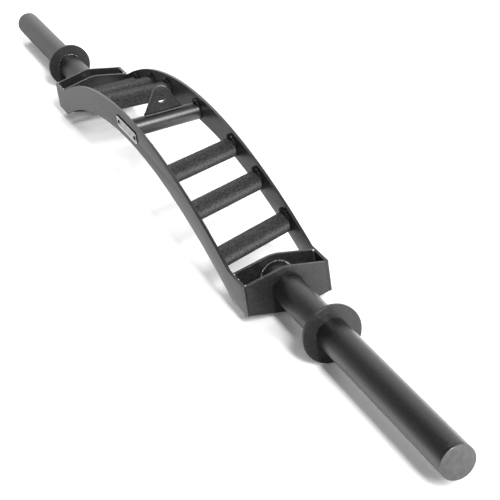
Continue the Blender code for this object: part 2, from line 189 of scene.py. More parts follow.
# %% World
WALL_LEAN = Vector((0.0, -0.8, 1.0))
WALL_TOP = 0.38
CEILING_START = 0.80
WALL_LIGHT = 1.30
CEILING_LIGHT = 0.12
SEEN_LIGHT = 1.0

world = bpy.data.worlds.new("studio")
world.use_nodes = True
bpy.context.scene.world = world
tree = world.node_tree
tree.nodes.clear()
direction = add_node(tree, COORDINATES).outputs["Generated"]
height = add_node(tree, VECTOR_MATH, {0: direction, 1: WALL_LEAN}, operation="DOT_PRODUCT")
wall = add_node(
    tree,
    MAP_RANGE,
    {
        "Value": height.outputs["Value"],
        "From Min": WALL_TOP,
        "From Max": CEILING_START,
        "To Min": WALL_LIGHT,
        "To Max": CEILING_LIGHT,
    },
    interpolation_type="SMOOTHSTEP",
)
seen = add_node(tree, "ShaderNodeLightPath").outputs["Is Camera Ray"]
strength = add_node(tree, MIX, {"Factor": seen, "A": wall, "B": SEEN_LIGHT})
sky = add_node(tree, "ShaderNodeBackground", {"Color": linear("#ffffff"), "Strength": strength})
add_node(tree, "ShaderNodeOutputWorld", {"Surface": sky})
print("studio light", WALL_LIGHT, "low down and", CEILING_LIGHT, "overhead")

# %% [markdown]
# The bar lies on a sheet of pale paper, so wide that its edge is never seen. One square face is enough,
# and it is declared as stage, because it isn't part of the bar.

# %% Floor
FLOOR_SIZE = 60.0

floor_mesh = bpy.data.meshes.new("floor")
bm = bmesh.new()
bmesh.ops.create_grid(bm, x_segments=1, y_segments=1, size=FLOOR_SIZE / 2)
bm.to_mesh(floor_mesh)
bm.free()
floor = bpy.data.objects.new("floor", floor_mesh)
bpy.context.scene.collection.objects.link(floor)
floor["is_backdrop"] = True
print("floor", FLOOR_SIZE, "m wide")

# %% [markdown]
# Seen by the camera the paper's lit part is plain white, and the bar's shadow stays on it. Mirrored in the
# bar it carries painted light: it is brighter near the lamp and behind the bar than in front of it, so a
# ramp runs slantwise over it. Close under the bar it carries painted shade, darker where the bar shades it,
# which draws the lower edge of the round sleeves. More lamps could do this too, but they would also light
# the bar.
# Light Path instead tells what the camera sees, and what is mirrored, from the rays that only carry light.

# %% White paper
FLOOR_ALBEDO = 0.8
FLOOR_SEEN = 1.06
# Painted light in the mirrored paper: a ramp, brighter behind the bar and towards the lamp.
RAMP_SLANT = Vector((0.3, 1.0, 0.0))
RAMP_START = -0.35
RAMP_END = 0.30
RAMP_POWER = 1.8
MIRRORED_FRONT = 0.54
MIRRORED_BACK = 1.75
# Painted shade in the mirrored paper: a darker band close under the bar.
SHADE_MIDDLE = -0.01
SHADE_CORE = 0.015
SHADE_EDGE = 0.07
SHADE_DEPTH = 0.40

# Matt paper scatters light evenly, so it shows no highlight, only its tone and the shadow on it.
paper = bpy.data.materials.new("White paper")
paper.use_nodes = True
tree = paper.node_tree
tree.nodes.clear()
path = add_node(tree, "ShaderNodeLightPath").outputs
seen = add_node(
    tree, MATH, {0: path["Is Camera Ray"], 1: path["Is Transmission Ray"]}, operation="MAXIMUM"
)
place = add_node(tree, COORDINATES).outputs["Object"]
depth = add_node(tree, VECTOR_MATH, {0: place, 1: RAMP_SLANT}, operation="DOT_PRODUCT").outputs["Value"]
ramp = add_node(tree, MAP_RANGE, {"Value": depth, "From Min": RAMP_START, "From Max": RAMP_END})
steep = add_node(tree, MATH, {0: ramp, 1: RAMP_POWER}, operation="POWER")
mirrored = add_node(tree, MAP_RANGE, {"Value": steep, "To Min": MIRRORED_FRONT, "To Max": MIRRORED_BACK})
across = add_node(tree, SPLIT, {0: place}).outputs["Y"]
from_middle = add_node(tree, MATH, {0: across, 1: SHADE_MIDDLE}, operation="SUBTRACT")
beside = add_node(tree, MATH, {0: from_middle}, operation="ABSOLUTE")
shade = add_node(
    tree,
    MAP_RANGE,
    {"Value": beside, "From Min": SHADE_CORE, "From Max": SHADE_EDGE, "To Min": SHADE_DEPTH, "To Max": 1.0},
)
mirrored = add_node(tree, MATH, {0: mirrored, 1: shade}, operation="MULTIPLY")
lit = add_node(tree, MIX, {"Factor": seen, "A": FLOOR_ALBEDO, "B": FLOOR_SEEN})
tone = add_node(tree, MIX, {"Factor": path["Is Glossy Ray"], "A": lit, "B": mirrored})
matt = add_node(tree, "ShaderNodeBsdfDiffuse", {"Color": tone})
add_node(tree, "ShaderNodeOutputMaterial", {"Surface": matt})
floor.data.materials.append(paper)
print("paper mirrored at", MIRRORED_FRONT, "in front of the bar, up to", MIRRORED_BACK, "behind it")

# %% [markdown]
# One big soft box stands far off in front of the bar's right end, halfway up. It is narrow across the bar
# and tall along it, so the shadows of sleeves and rails keep their edges while those of grips melt away.
# A weak wide one hangs over the far end and thins the shadows there. It isn't mirrored in the steel.

# %% Lamps
def soft_box(name, target, elevation, azimuth, distance, width, height, power):
    """A rectangular lamp aimed at a target, from an elevation and an azimuth counted from +X to +Y."""
    data = bpy.data.lights.new(name, "AREA")
    data.shape = "RECTANGLE"
    data.size = width
    data.size_y = height
    data.energy = power
    up, round_z = math.radians(elevation), math.radians(azimuth)
    towards = Vector((math.cos(up) * math.cos(round_z), math.cos(up) * math.sin(round_z), math.sin(up)))
    lamp = bpy.data.objects.new(name, data)
    lamp.location = Vector(target) + towards * distance
    lamp.rotation_euler = towards.to_track_quat("Z", "Y").to_euler()
    bpy.context.scene.collection.objects.link(lamp)
    print(name, "lamp at", [round(v, 2) for v in lamp.location])
    return lamp


soft_box(
    "key",
    target=(0.0, 0.0, 0.05),
    elevation=35,
    azimuth=1,
    distance=16.0,
    width=2.2,
    height=6.0,
    power=3000,
)
fill = soft_box(
    "fill",
    target=(-1.1, -0.1, 0.0),
    elevation=80,
    azimuth=180,
    distance=2.4,
    width=2.0,
    height=2.0,
    power=30,
)
fill.visible_glossy = False

# %% [markdown]
# No painted or brushed surface is one flat tone. This function mixes two close tones in soft patches, and
# gives the surface a fine grain that both roughens its gloss in spots and lifts it a little. The sizes of
# patches and grain are in millimetres. What is the same all over a surface goes straight into the shader's
# own sockets.

# %% A finish of two tones
PATCH_DETAIL = 5.0
PATCH_DARK = 0.35
PATCH_LIGHT = 0.65
GRAIN_DETAIL = 3.0
GRAIN_HEIGHT = 0.3 * MM
GLOSS_CHANGE = 0.08
MIX_FIRST_COLOUR = 6
MIX_SECOND_COLOUR = 7
MIX_COLOUR_RESULT = 2


def two_tone(name, colour, second, roughness, patch=9.0, grain=2.2, relief=0.45, mirror=0.5, metal=0.0):
    """A material of two close tones in soft patches, over a fine grain. Patch and grain are in mm."""
    material = bpy.data.materials.new(name)
    material.use_nodes = True
    tree = material.node_tree
    shader = tree.nodes["Principled BSDF"]
    place = add_node(tree, COORDINATES).outputs["Object"]
    patches = add_node(tree, NOISE, {"Vector": place, "Scale": per_size(patch), "Detail": PATCH_DETAIL})
    spread = add_node(tree, MAP_RANGE, {"Value": patches, "From Min": PATCH_DARK, "From Max": PATCH_LIGHT})
    tone = add_node(
        tree,
        MIX,
        {"Factor": spread, MIX_FIRST_COLOUR: linear(colour), MIX_SECOND_COLOUR: linear(second)},
        data_type="RGBA",
    )
    fine = add_node(tree, NOISE, {"Vector": place, "Scale": per_size(grain), "Detail": GRAIN_DETAIL})
    dull = add_node(
        tree,
        MAP_RANGE,
        {"Value": fine, "To Min": roughness - GLOSS_CHANGE, "To Max": roughness + GLOSS_CHANGE},
    )
    skin = add_node(
        tree, "ShaderNodeBump", {"Strength": relief, "Distance": GRAIN_HEIGHT, "Height": fine}
    )
    shader.inputs["Specular IOR Level"].default_value = mirror
    shader.inputs["Metallic"].default_value = metal
    tree.links.new(tone.outputs[MIX_COLOUR_RESULT], shader.inputs["Base Color"])
    tree.links.new(dull.outputs[0], shader.inputs["Roughness"])
    tree.links.new(skin.outputs[0], shader.inputs["Normal"])
    print("finish", name, colour, "to", second, "roughness", roughness)
    return material


# %% [markdown]
# The bar is powder-coated steel: dry paint, sprayed on and baked into a tough skin. Up close that skin has
# a fine orange peel. Its waves are about a millimetre across on the real coat and twice that here, so that
# they show. The skin is satin, so highlights are broad and soft. Every part has the same paint, but not the
# same thickness of it, and hands and racks polish some of it, so the tones differ a little.

# %% Powder coats
# Flat plate: almost black, with a lively peel that breaks up its highlights.
frame_coat = two_tone("Powder-coated steel, frame", "#141415", "#232324", 0.32, patch=5.0, relief=0.75)
# Sleeves: the blackest part, so that the streak of light along the tube stands out.
sleeve_coat = two_tone("Powder-coated steel, sleeve", "#0b0b0c", "#1a1a1b", 0.34, patch=5.0, relief=0.75)
# Collars: worn by plates, so greyer than the sleeves they sit on.
collar_coat = two_tone("Powder-coated steel, collar", "#1a1a1b", "#282829", 0.34, patch=5.0, relief=0.75)
# Centre bar: polished by hooks, with the clearest highlight.
bar_coat = two_tone("Powder-coated steel, centre bar", "#101011", "#1c1c1d", 0.33, mirror=1.0)
# End caps: the face is an even dark grey, lighter than the sleeves.
cap_coat = two_tone("Powder-coated steel, end cap", "#464647", "#545455", 0.42)
# Edges: a lighter grey, which paints a highlight along them, so that they show as thin lines of light.
edge_highlight_coat = two_tone("Powder-coated steel, painted edge highlight", "#363637", "#505051", 0.30, mirror=0.8)

# %% [markdown]
# A turned piece is a profile spun about a line. These functions build every mesh in the place where it
# belongs, so each object stays at the origin, unturned and unscaled. Steps of a few degrees and smooth
# shading make it round, and only corners sharper than the limit stay crisp.

# %% Mesh helpers
ROUND_STEPS = 128
SHARP_ANGLE = math.radians(12)
SAME_POINT = 0.001 * MM


def finish_mesh(name, bm, material):
    """Makes an object of the body in bm, faces outward, smooth but for sharp corners."""
    bmesh.ops.remove_doubles(bm, verts=bm.verts, dist=SAME_POINT)
    bmesh.ops.recalc_face_normals(bm, faces=bm.faces)
    mesh = bpy.data.meshes.new(name)
    bm.to_mesh(mesh)
    bm.free()
    mesh.shade_smooth()
    mesh.set_sharp_from_angle(angle=SHARP_ANGLE)
    mesh.materials.append(material)
    obj = bpy.data.objects.new(name, mesh)
    bpy.context.scene.collection.objects.link(obj)
    print(name, "has", len(mesh.polygons), "faces")
    return obj


def arc(centre, radius, start, end, steps=10):
    """Points along an arc from one angle to another, in degrees."""
    angles = [math.radians(start + (end - start) * i / steps) for i in range(steps + 1)]
    return [(centre[0] + radius * math.cos(a), centre[1] + radius * math.sin(a)) for a in angles]


def turned(name, profile, origin, axis, material):
    """Spins a profile of (out, along) points about an axis. It may start and end on the axis."""
    axis = Vector(axis)
    out = axis.orthogonal().normalized()
    bm = bmesh.new()
    verts = [bm.verts.new(Vector(origin) + out * r + axis * z) for r, z in profile]
    edges = [bm.edges.new(pair) for pair in zip(verts, verts[1:])]
    if profile[0][0] > 0 and profile[-1][0] > 0:
        edges.append(bm.edges.new((verts[-1], verts[0])))
    bmesh.ops.spin(
        bm, geom=verts + edges, cent=origin, axis=axis, angle=math.tau, steps=ROUND_STEPS, use_merge=True
    )
    return finish_mesh(name, bm, material)


def span_along(name, side):
    """Where a piece starts and ends along the bar, counted outwards from the middle."""
    low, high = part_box(name)
    return sorted((side * low.x, side * high.x))


# %% [markdown]
# Sleeves, collars and end caps are turned about the bar's own axis. A sleeve is a steel tube. A plain
# cylinder would do for its side, but a profile can also bevel its outer end by a hair. The cap has the same
# bevel, so a fine seam shows where the two meet.

# %% Sleeves
SEAM = 0.12 * MM

bar_middle = (0.0, 0.0, axis_height)
for word, side in SIDES.items():
    start, end = span_along(f"sleeve_tube_{word}", side)
    profile = [(0, start), (sleeve_radius, start), (sleeve_radius, end - SEAM)]
    profile += [(sleeve_radius - SEAM, end), (0, end)]
    sleeve = turned(f"turned_sleeve_{word}", profile, bar_middle, (side, 0, 0), sleeve_coat)
    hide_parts(f"sleeve_tube_{word}")

# %% [markdown]
# A collar is a flat ring of plate steel that stops the weights. Its rim is rounded, because a rounded edge
# always finds some light to mirror, and a sharp one never does.

# %% Collars
COLLAR_EDGE = 1.0 * MM

for word, side in SIDES.items():
    start, end = span_along(f"collar_{word}", side)
    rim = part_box(f"collar_{word}")[1].z - axis_height - COLLAR_EDGE
    profile = [(sleeve_radius, start)] + arc((rim, start + COLLAR_EDGE), COLLAR_EDGE, -90, 0)
    profile += arc((rim, end - COLLAR_EDGE), COLLAR_EDGE, 0, 90) + [(sleeve_radius, end)]
    collar = turned(f"turned_collar_{word}", profile, bar_middle, (side, 0, 0), collar_coat)
    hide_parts(f"collar_{word}")

# %% [markdown]
# An end cap closes the tube. Its side has the sleeve's paint and its face is an even grey. The rounded rim
# between them is a lighter grey, a painted highlight. How far a face leans outwards along the bar tells
# which it is.

# %% End caps
CAP_EDGE = 1.4 * MM
CAP_RIM = 0.3
CAP_FACE = 0.99

for word, side in SIDES.items():
    start, end = span_along(f"end_cap_{word}", side)
    rim = sleeve_radius - CAP_EDGE
    profile = [(0, start), (sleeve_radius - SEAM, start), (sleeve_radius, start + SEAM)]
    profile += arc((rim, end - CAP_EDGE), CAP_EDGE, 0, 90) + [(0, end)]
    cap = turned(f"turned_cap_{word}", profile, bar_middle, (side, 0, 0), sleeve_coat)
    cap.data.materials.append(cap_coat)
    cap.data.materials.append(edge_highlight_coat)
    for face in cap.data.polygons:
        lean = side * face.normal.x
        face.material_index = int(lean > CAP_RIM) + int(CAP_RIM < lean < CAP_FACE)
    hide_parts(f"end_cap_{word}")

# %% [markdown]
# The centre bar is a smooth tube straight across the frame. It is turned like the sleeves, so that it gets
# the same fine steps, but about a line along Y.

# %% Centre bar
low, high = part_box("centre_bar")
bar_radius = (high.z - low.z) / 2
bar_centre = ((low.x + high.x) / 2, 0.0, (low.z + high.z) / 2)
profile = [(0, low.y), (bar_radius, low.y), (bar_radius, high.y), (0, high.y)]
centre_bar = turned("turned_centre_bar", profile, bar_centre, (0, 1, 0), bar_coat)
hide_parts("centre_bar")

# %% [markdown]
# The rails, cross plates and lug are cut from flat steel. Drawing their outlines again could only add
# mistakes, so each is a copy of the frame's own piece. It arrives as loose triangles, so it is merged first,
# and its flat faces are made whole. Then its corners are rounded. What faces neither along a plate's
# thickness nor squarely away from it is such a corner, and gets a lighter coat, which paints a highlight
# along the edges, so that they show as thin lines of light.

# %% Plates
PLATES = ["front_rail", "back_rail", "hanging_lug"]
PLATES += [f"{depth}_cross_plate_{word}" for depth in ("outer", "inner") for word in SIDES]
PLATE_EDGE = 0.4 * MM
EDGE_CUTS = 3
CORNER_ANGLE = math.radians(30)
FLAT_ANGLE = math.radians(0.3)
SAME_CORNER = 0.01 * MM
EDGE_LEAN = (0.2, 0.97)


def joined(name):
    """A piece of the frame as one connected body, whose flat faces are whole again."""
    bm = bmesh.new()
    bm.from_mesh(frame["nodes"][name].data)
    bmesh.ops.remove_doubles(bm, verts=bm.verts, dist=SAME_CORNER)
    bmesh.ops.dissolve_limit(bm, angle_limit=FLAT_ANGLE, verts=bm.verts, edges=bm.edges)
    return bm


def softened(name, edge, material, edge_material):
    """A copy of a plate from the frame, with its edges rounded and in a coat of their own."""
    bm = joined(name)
    corners = [e for e in bm.edges if e.is_manifold and e.calc_face_angle() > CORNER_ANGLE]
    bmesh.ops.bevel(
        bm, geom=corners, offset=edge, segments=EDGE_CUTS, profile=0.5, affect="EDGES", clamp_overlap=True
    )
    plate = finish_mesh(f"coated_{name}", bm, material)
    # The rounded corners take the edge material: a lighter coat that paints a highlight along them.
    plate.data.materials.append(edge_material)
    thin = min(range(3), key=lambda axis: plate.dimensions[axis])
    for face in plate.data.polygons:
        face.material_index = int(EDGE_LEAN[0] < abs(face.normal[thin]) < EDGE_LEAN[1])
    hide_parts(name)
    return plate


for name in PLATES:
    softened(name, PLATE_EDGE, frame_coat, edge_highlight_coat)

# %% [markdown]
# The name plate is thin aluminium sheet, stamped so that a bright rim stands a little above a duller field.
# A picture of a rim would stay flat in slanting light. Insetting the front face by the rim's width, and
# sinking it, gives a real step instead, and lets the sunk face have a material of its own.

# %% Name plate
RIM_WIDTH = 2.0 * MM
FIELD_DEPTH = 0.15 * MM
FACING_FRONT = -0.9

# The rim is nearly white and fairly smooth, because it is rubbed when the plate is wiped.
bright_aluminium = two_tone("Aluminium, bright rim", "#f8f8fa", "#ffffff", 0.30, metal=1.0)
# The field is brushed to a satin grey, with a cloudy look from small patches.
satin_aluminium = two_tone("Aluminium, satin field", "#a4a4a6", "#dcdcde", 0.40, patch=5.0, metal=1.0)

bm = joined("name_plate")
field = [face for face in bm.faces if face.normal.y < FACING_FRONT]
bmesh.ops.inset_region(bm, faces=field, thickness=RIM_WIDTH, depth=-FIELD_DEPTH, use_even_offset=True)
for face in field:
    face.material_index = 1
name_plate = finish_mesh("stamped_name_plate", bm, bright_aluminium)
name_plate.data.materials.append(satin_aluminium)
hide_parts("name_plate")

# %% [markdown]
# A black sheet, cut to the plate's own outline, sits under it a little off its place. It is painted shadow:
# all that shows of it is a black line above the plate and at its end, which sets the bright metal off from
# the rail. So the sheet is a copy of the plate, moved by a few millimetres.

# %% Painted shadow under the name plate
SHADOW_SHEET_SHIFT = Vector((1.2, 0.3, 2.7)) * MM

# Painted shadow: the blackest thing on the bar, with next to no shine.
shadow_sheet_black = two_tone("Black sheet, painted shadow", "#020202", "#050505", 0.80, mirror=0.1)

bm = joined("name_plate")
bmesh.ops.translate(bm, verts=bm.verts, vec=SHADOW_SHEET_SHIFT)
shadow_sheet = finish_mesh("stamped_name_plate_shadow_sheet", bm, shadow_sheet_black)

# %% [markdown]
# Knurling, welds and spatter repeat or follow a line, so Geometry Nodes make them: one tree serves many
# pieces, and only its inputs change. A tree has named inputs, and ends by turning what it made into real
# geometry with a material. It works on a mesh line with a size at each point, or on an empty mesh where the
# inputs say it all. A modifier's inputs go by the sockets' identifiers and are set before the object is
# first evaluated. The evaluated result becomes a plain mesh, and the modifier goes.

# %% Node tree helpers
def geometry_tree(name, inputs):
    """A node tree for a modifier, with named inputs and one geometry output."""
    tree = bpy.data.node_groups.new(name, "GeometryNodeTree")
    for label, kind in inputs.items():
        tree.interface.new_socket(label, in_out="INPUT", socket_type=kind)
    tree.interface.new_socket("Geometry", in_out="OUTPUT", socket_type="NodeSocketGeometry")
    print("tree", name, "takes", ", ".join(inputs))
    return tree, add_node(tree, "NodeGroupInput").outputs


def output_mesh(tree, geometry, material):
    """Ends a tree: real geometry, then its material."""
    real = add_node(tree, "GeometryNodeRealizeInstances", {0: geometry})
    painted = add_node(tree, "GeometryNodeSetMaterial", {0: real, 2: material})
    add_node(tree, "NodeGroupOutput", {0: painted})


def grown(name, tree, inputs, points=(), sizes=(), closed=False):
    """The plain mesh object that a node tree makes of these inputs, and of a line with sizes if given."""
    line = bpy.data.meshes.new(name)
    edges = list(zip(range(len(points) - 1), range(1, len(points))))
    if closed:
        edges.append((len(points) - 1, 0))
    line.from_pydata(points, edges, [])
    line.attributes.new("size", "FLOAT", "POINT").data.foreach_set("value", sizes)
    source = bpy.data.objects.new(name, line)
    bpy.context.scene.collection.objects.link(source)
    modifier = source.modifiers.new("Nodes", "NODES")
    modifier.node_group = tree
    for item in tree.interface.items_tree:
        if item.in_out == "INPUT" and item.name in inputs:
            modifier[item.identifier] = inputs[item.name]
    evaluated = source.evaluated_get(bpy.context.evaluated_depsgraph_get())
    mesh = bpy.data.meshes.new_from_object(evaluated)
    source.modifiers.remove(modifier)
    source.data = mesh
    print(name, "has", len(mesh.polygons), "faces")
    return source


# %% [markdown]
# Knurling is rows of small pyramids, pressed in by two crossing sets of spiral grooves. A lattice wrapped
# round the tube gives just that when every other point is a tip and the rest are valleys, as on a
# chessboard. Geometry Nodes builds one lattice from a few inputs, and the six grips share the tree. It
# starts as a flat grid whose cells are one unit, so a point's place tells its column and its row. Points in
# the first and last row lie on the axis, which closes the tube's ends.

# %% Knurling as a flat lattice
knurl_tree, given = geometry_tree(
    "Knurled grip",
    {
        "Columns": "NodeSocketInt",
        "Rows": "NodeSocketInt",
        "Radius": "NodeSocketFloat",
        "Depth": "NodeSocketFloat",
        "Row length": "NodeSocketFloat",
        "Reach": "NodeSocketFloat",
        "Centre": "NodeSocketVector",
        "Level": "NodeSocketVector",
        "Up": "NodeSocketVector",
        "Axis": "NodeSocketVector",
        "Material": "NodeSocketMaterial",
    },
)
tree = knurl_tree
columns, rows = given["Columns"], given["Rows"]
points_across = add_node(tree, MATH, {0: columns, 1: 1.0}, operation="ADD")
points_along = add_node(tree, MATH, {0: rows, 1: 1.0}, operation="ADD")
grid = add_node(
    tree,
    "GeometryNodeMeshGrid",
    {"Size X": columns, "Size Y": rows, "Vertices X": points_across, "Vertices Y": points_along},
)
place = add_node(tree, SPLIT, {0: add_node(tree, "GeometryNodeInputPosition")}).outputs
half_columns = add_node(tree, MATH, {0: columns, 1: 2.0}, operation="DIVIDE")
from_first = add_node(tree, MATH, {0: place["X"], 1: half_columns}, operation="ADD")
column = add_node(tree, MATH, {0: from_first}, operation="ROUND")
row = add_node(tree, MATH, {0: place["Y"]}, operation="ROUND")
both = add_node(tree, MATH, {0: column, 1: row}, operation="ADD")
valley = add_node(tree, MATH, {0: both, 1: 2.0}, operation="FLOORED_MODULO")
dip = add_node(tree, MATH, {0: valley, 1: given["Depth"]}, operation="MULTIPLY")
radius = add_node(tree, MATH, {0: given["Radius"], 1: dip}, operation="SUBTRACT")
half_rows = add_node(tree, MATH, {0: rows, 1: 2.0}, operation="DIVIDE")
last_row = add_node(tree, MATH, {0: half_rows, 1: 0.5}, operation="SUBTRACT")
from_centre = add_node(tree, MATH, {0: row}, operation="ABSOLUTE")
inner = add_node(tree, MATH, {0: from_centre, 1: last_row}, operation="LESS_THAN")
radius = add_node(tree, MATH, {0: radius, 1: inner}, operation="MULTIPLY")

# %% [markdown]
# The lattice is wrapped round the tube's line: a column becomes an angle, and a row a distance along the
# line. The lattice is longer than the grip, and whatever would pass a rail is held at the rail's face, so
# the ends close flat. Points that fall together are merged, which also closes the seam.

# %% Knurling wrapped round a tube
KNURL_MERGE = 0.002 * MM

part_round = add_node(tree, MATH, {0: column, 1: columns}, operation="DIVIDE")
angle = add_node(tree, MATH, {0: part_round, 1: math.tau}, operation="MULTIPLY")
cosine = add_node(tree, MATH, {0: angle}, operation="COSINE")
sine = add_node(tree, MATH, {0: angle}, operation="SINE")
out_level = add_node(tree, MATH, {0: radius, 1: cosine}, operation="MULTIPLY")
out_up = add_node(tree, MATH, {0: radius, 1: sine}, operation="MULTIPLY")
sideways = add_node(tree, VECTOR_MATH, {0: given["Level"], "Scale": out_level}, operation="SCALE")
upwards = add_node(tree, VECTOR_MATH, {0: given["Up"], "Scale": out_up}, operation="SCALE")
outwards = add_node(tree, VECTOR_MATH, {0: sideways, 1: upwards}, operation="ADD")
across = add_node(tree, SPLIT, {0: outwards}).outputs["Y"]
axis_across = add_node(tree, SPLIT, {0: given["Axis"]}).outputs["Y"]
front_reach = add_node(tree, MATH, {0: given["Reach"], 1: -1.0}, operation="MULTIPLY")
front_space = add_node(tree, MATH, {0: front_reach, 1: across}, operation="SUBTRACT")
back_space = add_node(tree, MATH, {0: given["Reach"], 1: across}, operation="SUBTRACT")
least = add_node(tree, MATH, {0: front_space, 1: axis_across}, operation="DIVIDE")
most = add_node(tree, MATH, {0: back_space, 1: axis_across}, operation="DIVIDE")
along = add_node(tree, MATH, {0: row, 1: given["Row length"]}, operation="MULTIPLY")
along = add_node(tree, MATH, {0: along, 1: least}, operation="MAXIMUM")
along = add_node(tree, MATH, {0: along, 1: most}, operation="MINIMUM")
travelled = add_node(tree, VECTOR_MATH, {0: given["Axis"], "Scale": along}, operation="SCALE")
point = add_node(tree, VECTOR_MATH, {0: given["Centre"], 1: outwards}, operation="ADD")
point = add_node(tree, VECTOR_MATH, {0: point, 1: travelled}, operation="ADD")
wrapped = add_node(tree, "GeometryNodeSetPosition", {"Geometry": grid, "Position": point})
merged = add_node(tree, "GeometryNodeMergeByDistance", {"Geometry": wrapped, "Distance": KNURL_MERGE})
output_mesh(tree, merged, given["Material"])
print("the knurling tree has", len(tree.nodes), "nodes")

# %% [markdown]
# Each grip is a tube on a slant, cut off flush with the rails. Its line runs between the middles of its two
# ends, and those are measured on the frame, so that the knurling can't drift from the solid under it.

# %% Lines of the grips
END_FLATNESS = 0.01 * MM
POINT_DIGITS = 6


def end_middles(node):
    """The middles of a tube's two ends, front first, from the frame's own vertices."""
    points = [vertex.co for vertex in node.data.vertices]
    near = min(point.y for point in points)
    far = max(point.y for point in points)
    middles = []
    for y in (near, far):
        ring = {
            tuple(round(value, POINT_DIGITS) for value in point)
            for point in points
            if abs(point.y - y) < END_FLATNESS
        }
        middles.append(sum((Vector(point) for point in ring), Vector()) / len(ring))
    return middles


def tube_radius(node, middle, axis):
    """How far the frame's vertices lie from a tube's line, at most."""
    return max((vertex.co - middle).cross(axis).length for vertex in node.data.vertices)


def square_to(axis):
    """Two directions square to an axis: a level one, and one that is as upright as it can be."""
    level = axis.cross(Vector((0, 0, 1))).normalized()
    return level, level.cross(axis)


grips = {}
for word in SIDES:
    for number in (1, 2, 3):
        node = frame["nodes"][f"grip_{word}_{number}"]
        front, back = end_middles(node)
        axis = (back - front).normalized()
        grips[f"{word}_{number}"] = (front, back, tube_radius(node, front, axis))
        print("grip", word, number, "slants by", round(math.degrees(axis.angle((0, 1, 0))), 1), "degrees")

# %% [markdown]
# Sixty tips go round a grip, so they stand under two millimetres apart, and the pyramids are half as long
# again as they are wide. They are real geometry, because a bump in the material would leave the grips'
# outlines smooth.

# %% Grips
KNURL_TIPS = 60
KNURL_DEPTH = 0.55 * MM
KNURL_STRETCH = 1.5

# Paint pools in the grooves and wears off the tips, and the tips catch tiny glints of light. Both are
# painted as one dull speckle of black and dark grey. Real specks are as small as the tips. Here they are
# drawn at
# 2.7 mm, so that they show.
grip_coat = two_tone("Powder-coated knurled steel", "#020202", "#404040", 0.55, patch=2.7, grain=0.8)

for key, (front, back, radius) in grips.items():
    axis = (back - front).normalized()
    level, up = square_to(axis)
    row_length = KNURL_STRETCH * math.pi * radius / KNURL_TIPS
    reach = (back.y - front.y) / 2
    grip = grown(
        f"knurled_grip_{key}",
        knurl_tree,
        {
            "Columns": 2 * KNURL_TIPS,
            "Rows": 2 * math.ceil((reach / axis.y + radius) / row_length),
            "Radius": radius,
            "Depth": KNURL_DEPTH,
            "Row length": row_length,
            "Reach": reach,
            "Centre": (front + back) / 2,
            "Level": level,
            "Up": up,
            "Axis": axis,
            "Material": grip_coat,
        },
    )
    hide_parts(f"grip_{key}")

# %% [markdown]
# A weld bead is a row of overlapping puddles. Each one starts wide and tapers to the next, and a little
# noise keeps them from being equal. The tree takes a line with a size at every point, makes a curve of it,
# cuts that finely and sweeps a circle along it whose radius follows the puddles.

# %% Weld bead as a node tree
BEAD_CUTS = 6
BEAD_SIDES = 12
CHANCE_PATCH = 5.0
CHANCE_DETAIL = 2.0
CHANCE_MIDDLE = 0.5
CHANCE_GAIN = 4.0

bead_tree, given = geometry_tree(
    "Weld bead",
    {
        "Line": "NodeSocketGeometry",
        "Puddle": "NodeSocketFloat",
        "Relief": "NodeSocketFloat",
        "Seed": "NodeSocketFloat",
        "Material": "NodeSocketMaterial",
    },
)
tree = bead_tree
curve = add_node(tree, "GeometryNodeMeshToCurve", {"Mesh": given["Line"]})
cut = add_node(tree, MATH, {0: given["Puddle"], 1: BEAD_CUTS}, operation="DIVIDE")
curve = add_node(tree, "GeometryNodeResampleCurve", {"Curve": curve, "Length": cut}, mode="LENGTH")
size = add_node(tree, "GeometryNodeInputNamedAttribute", {"Name": "size"}, data_type="FLOAT")
run = add_node(tree, "GeometryNodeSplineParameter").outputs["Length"]
puddles = add_node(tree, MATH, {0: run, 1: given["Puddle"]}, operation="DIVIDE")
taper = add_node(tree, MATH, {0: puddles}, operation="FRACT")
chance = add_node(
    tree,
    NOISE,
    {
        "Vector": add_node(tree, "GeometryNodeInputPosition"),
        "W": given["Seed"],
        "Scale": per_size(CHANCE_PATCH),
        "Detail": CHANCE_DETAIL,
    },
    noise_dimensions="4D",
)
change = add_node(tree, MATH, {0: chance, 1: CHANCE_MIDDLE}, operation="SUBTRACT")
change = add_node(tree, MATH, {0: change, 1: CHANCE_GAIN}, operation="MULTIPLY")
change = add_node(tree, MATH, {0: change, 1: taper}, operation="SUBTRACT")
change = add_node(tree, MATH, {0: change, 1: given["Relief"]}, operation="MULTIPLY")
change = add_node(tree, MATH, {0: change, 1: 1.0}, operation="ADD")
swell = add_node(tree, MATH, {0: size, 1: change}, operation="MULTIPLY")
section = add_node(tree, "GeometryNodeCurvePrimitiveCircle", {"Resolution": BEAD_SIDES, "Radius": 1.0})
swept = add_node(
    tree,
    "GeometryNodeCurveToMesh",
    {"Curve": curve, "Profile Curve": section, "Scale": swell, "Fill Caps": True},
)
output_mesh(tree, swept, given["Material"])
print("the bead tree has", len(tree.nodes), "nodes")

# %% [markdown]
# A bead lies in the corner between two faces. Its circle is centred a little way out of that corner,
# so about half of it shows. Each bead stands in for a plain one of the frame. Its leg is how far it reaches
# out of the corner, and all of its sizes follow from that. A bead takes its seed from its place in the
# frame's list, so no two beads ripple alike, and each comes out the same every time.

# %% Weld helpers
BEAD_SHIFT = 0.3
BEAD_FILL = 0.65
PUDDLE = 2.6 * MM
RIPPLE = 0.30
RING_POINTS = 72
TIP_SIZE = 0.4
SHOULDER_SIZE = 0.8


def weld(name, points, sizes, closed, material, puddle=PUDDLE, relief=RIPPLE):
    """A rippled bead in place of the frame's plain one."""
    seed = float(list(frame["nodes"]).index(name))
    inputs = {"Puddle": puddle, "Relief": relief, "Seed": seed, "Material": material}
    bead = grown(f"rippled_{name}", bead_tree, inputs, points, sizes, closed)
    bead.data.shade_smooth()
    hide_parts(name)


